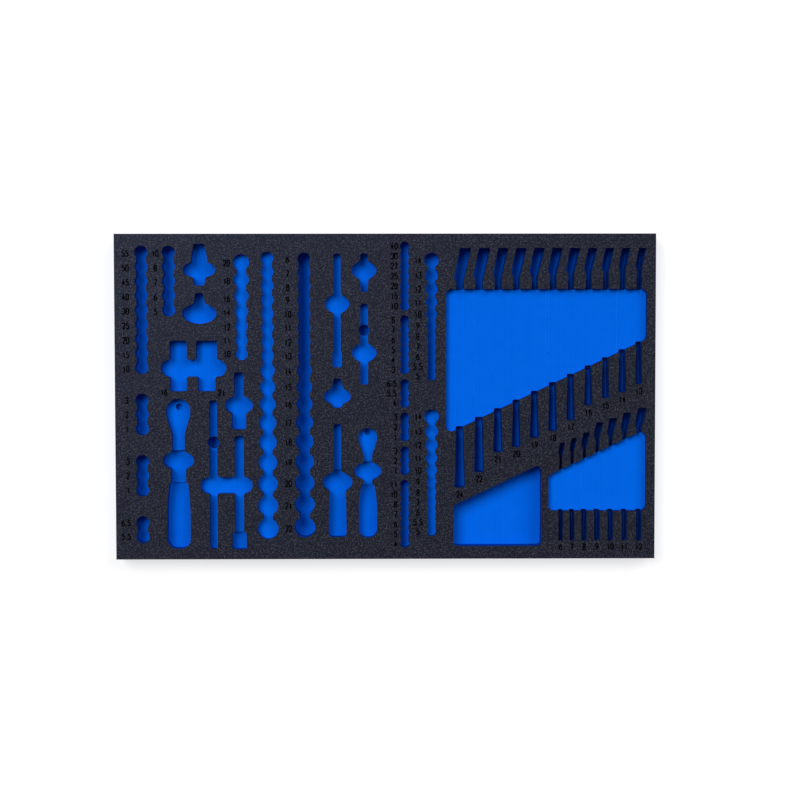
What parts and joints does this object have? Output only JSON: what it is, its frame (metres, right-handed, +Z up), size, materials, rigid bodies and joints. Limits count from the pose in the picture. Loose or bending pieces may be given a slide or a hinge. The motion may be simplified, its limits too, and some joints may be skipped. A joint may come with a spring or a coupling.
{
  "type": "foam tool drawer insert",
  "caption": "Two-layer foam drawer insert with pockets cut for sockets, bits, ratchets, extension bars and wrenches, plus open trays, black on top and blue inside the pockets.",
  "frame": {"origin": "centre of the underside", "axes": "+X to the right along the long side, +Y towards the back edge, +Z up out of the pockets"},
  "size_m": [0.735, 0.443, 0.035],
  "materials": {
    "black_foam": "textured closed-cell foam, matt",
    "blue_foam": "routed closed-cell foam, matt"
  },
  "bodies": {
    "root": {"top_sheet": "black_foam", "base_slab": "blue_foam"}
  },
  "joints": []
}
